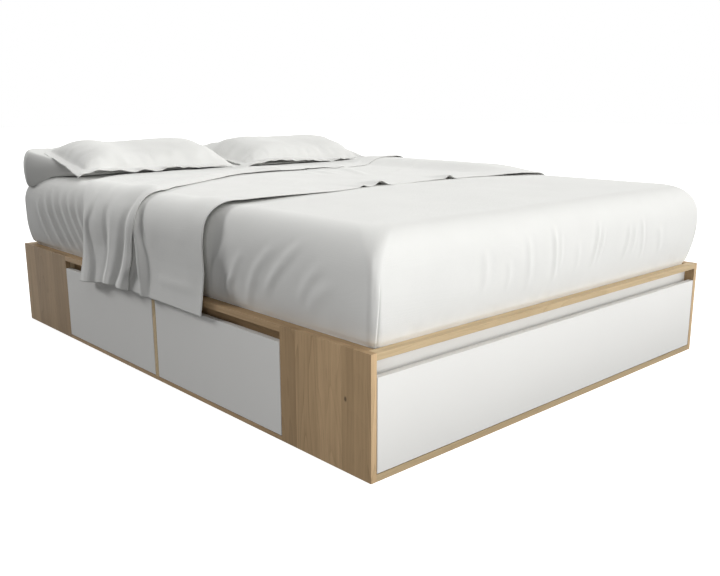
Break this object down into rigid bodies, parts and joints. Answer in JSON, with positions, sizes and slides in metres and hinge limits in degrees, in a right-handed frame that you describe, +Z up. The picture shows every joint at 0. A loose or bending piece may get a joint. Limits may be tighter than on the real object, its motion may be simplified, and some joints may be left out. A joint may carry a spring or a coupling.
{
  "type": "platform storage bed",
  "caption": "Low platform bed on an oak-faced base with pull-out drawers opened by finger gaps, made up with mattress, turned-down coverlet and pillows.",
  "frame": {"origin": "on the floor, under the middle of the base", "axes": "+X to the right side seen from the foot, +Y towards the head, +Z up"},
  "size_m": [1.676, 2.092, 0.7449],
  "materials": {
    "oak_laminate": "matte",
    "white_laminate": "satin",
    "birch_board": "matte",
    "zinc_steel": "satin",
    "ticking": "matte",
    "white_cotton": "matte"
  },
  "bodies": {
    "base": {"left_foot_panel": "oak_laminate", "left_head_panel": "oak_laminate", "right_foot_panel": "oak_laminate", "right_head_panel": "oak_laminate", "head_panel": "oak_laminate", "left_top_rail": "oak_laminate", "right_top_rail": "oak_laminate", "foot_top_rail": "oak_laminate", "head_top_rail": "oak_laminate", "left_base_rail": "oak_laminate", "right_base_rail": "oak_laminate", "foot_base_rail": "oak_laminate", "foot_bulkhead": "birch_board", "head_bulkhead": "birch_board", "left_divider": "oak_laminate", "right_divider": "oak_laminate", "left_spine": "birch_board", "right_spine": "birch_board", "foot_apron": "white_laminate", "left_aprons": "oak_laminate", "right_aprons": "oak_laminate", "foot_joists": "birch_board", "head_joists": "birch_board", "slat_cleats": "birch_board", "slats": "birch_board", "corner_brackets": "zinc_steel", "bracket_screws": "zinc_steel", "foot_runners": "zinc_steel", "left_foot_runners": "zinc_steel", "left_head_runners": "zinc_steel", "right_foot_runners": "zinc_steel", "right_head_runners": "zinc_steel", "mattress": "ticking", "fitted_sheet": "white_cotton", "coverlet": "white_cotton", "left_pillow": "white_cotton", "right_pillow": "white_cotton", "left_under_pillow": "white_cotton", "right_under_pillow": "white_cotton"},
    "foot_drawer": {"foot_drawer_front": "white_laminate", "foot_drawer_box": "birch_board", "foot_drawer_bottom": "white_laminate", "foot_drawer_slides": "zinc_steel"},
    "left_foot_drawer": {"left_foot_drawer_front": "white_laminate", "left_foot_drawer_box": "birch_board", "left_foot_drawer_bottom": "white_laminate", "left_foot_drawer_slides": "zinc_steel"},
    "left_head_drawer": {"left_head_drawer_front": "white_laminate", "left_head_drawer_box": "birch_board", "left_head_drawer_bottom": "white_laminate", "left_head_drawer_slides": "zinc_steel"},
    "right_foot_drawer": {"right_foot_drawer_front": "white_laminate", "right_foot_drawer_box": "birch_board", "right_foot_drawer_bottom": "white_laminate", "right_foot_drawer_slides": "zinc_steel"},
    "right_head_drawer": {"right_head_drawer_front": "white_laminate", "right_head_drawer_box": "birch_board", "right_head_drawer_bottom": "white_laminate", "right_head_drawer_slides": "zinc_steel"}
  },
  "joints": [
    {"name": "foot_drawer_slide", "type": "slide", "parent": "base", "child": "foot_drawer", "axis": [0, -1, 0], "range_m": [0, 0.2]},
    {"name": "left_foot_drawer_slide", "type": "slide", "parent": "base", "child": "left_foot_drawer", "axis": [-1, 0, 0], "range_m": [0, 0.42], "deforming": ["coverlet"]},
    {"name": "left_head_drawer_slide", "type": "slide", "parent": "base", "child": "left_head_drawer", "axis": [-1, 0, 0], "range_m": [0, 0.42], "deforming": ["coverlet"]},
    {"name": "right_foot_drawer_slide", "type": "slide", "parent": "base", "child": "right_foot_drawer", "axis": [1, 0, 0], "range_m": [0, 0.42], "deforming": ["coverlet"]},
    {"name": "right_head_drawer_slide", "type": "slide", "parent": "base", "child": "right_head_drawer", "axis": [1, 0, 0], "range_m": [0, 0.42], "deforming": ["coverlet"]}
  ]
}
